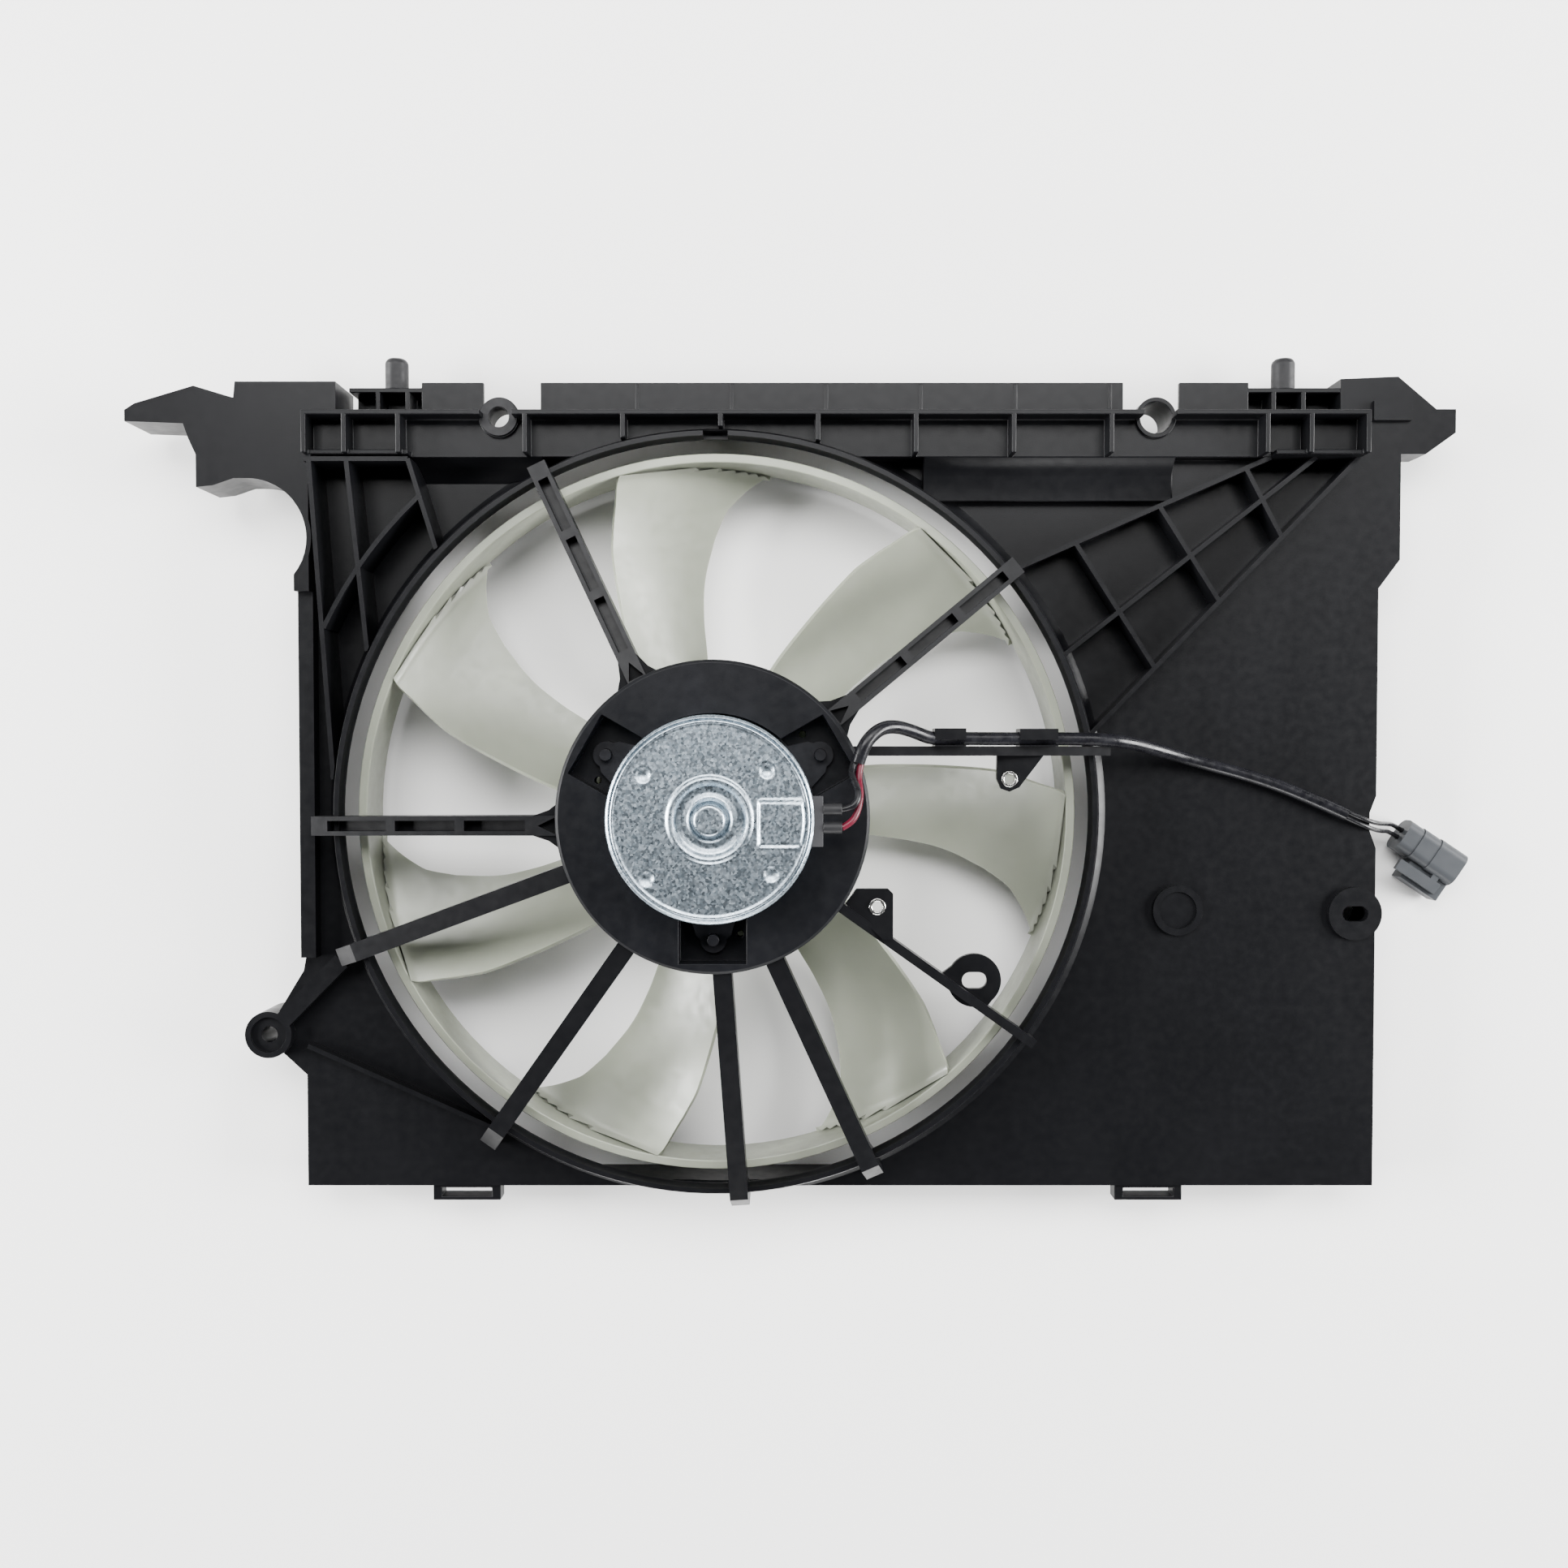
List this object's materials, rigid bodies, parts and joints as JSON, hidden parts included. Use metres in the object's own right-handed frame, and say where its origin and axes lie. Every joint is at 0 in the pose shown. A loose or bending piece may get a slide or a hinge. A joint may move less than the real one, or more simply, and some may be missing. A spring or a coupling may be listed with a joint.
{
  "type": "radiator fan",
  "caption": "Vehicle radiator fan: moulded shroud with stator spokes around an electric ring fan, its motor and a short wiring harness with a connector.",
  "frame": {"origin": "on the fan's axis, in the plane of the shroud's rim that faces the radiator", "axes": "+Z along the fan's axis towards the motor, +X along the top rail, +Y from the bottom edge to the top rail"},
  "size_m": [0.7284, 0.4591, 0.118],
  "materials": {
    "shroud": "fine moulded texture, satin, slightly dusty",
    "fan": "natural translucent moulding, satin",
    "zinc": "zinc plated, fine spangle",
    "steel": "ground steel",
    "core_steel": "stacked laminations, dull",
    "copper": "enamelled copper wire",
    "ferrite": "dull fired ferrite",
    "carbon": "pressed carbon, dull",
    "holder_plastic": "glass-filled, dull",
    "rubber": "matte",
    "fasteners": "zinc plated",
    "inserts": "bright plated",
    "sleeve_tape": "wrapped tape, soft sheen",
    "wire_red": "soft insulation",
    "wire_black": "soft insulation",
    "connector_grey": "smooth moulding"
  },
  "bodies": {
    "root": {"fan_barrel": "shroud", "shroud_panel": "shroud", "shroud_skirt": "shroud", "corner_lug": "shroud", "bolt_collars": "shroud", "top_rail": "shroud", "left_bracket": "shroud", "right_bracket": "shroud", "upper_tabs": "shroud", "guide_pins": "rubber", "stator_spokes": "shroud", "motor_mount_ring": "shroud", "motor_can": "zinc", "motor_end_plate": "zinc", "motor_flange": "zinc", "magnets": "ferrite", "brush_holder": "holder_plastic", "brushes": "carbon", "brush_springs": "steel", "front_bearing": "steel", "rear_bearing": "steel", "motor_screws": "fasteners", "terminal_block": "holder_plastic", "terminal_boots": "rubber", "choke_coils": "copper", "tab_inserts": "inserts", "harness_sleeve": "sleeve_tape", "lead_red": "wire_red", "lead_black": "wire_black", "connector_wires": "wire_black", "harness_clips": "shroud", "bolt_grommet": "rubber", "connector_housing": "connector_grey", "connector_lock": "connector_grey", "connector_seal": "rubber", "connector_pins": "inserts"},
    "rotor": {"fan_hub": "fan", "hub_insert": "steel", "fan_blades": "fan", "fan_ring": "fan", "armature_core": "core_steel", "windings": "copper", "commutator": "copper", "motor_shaft": "steel", "fan_nut": "steel"}
  },
  "joints": [
    {"name": "fan_spin", "type": "hinge", "parent": "root", "child": "rotor", "pos_m": [0, 0, 0], "axis": [0, 0, 1], "continuous": true}
  ]
}
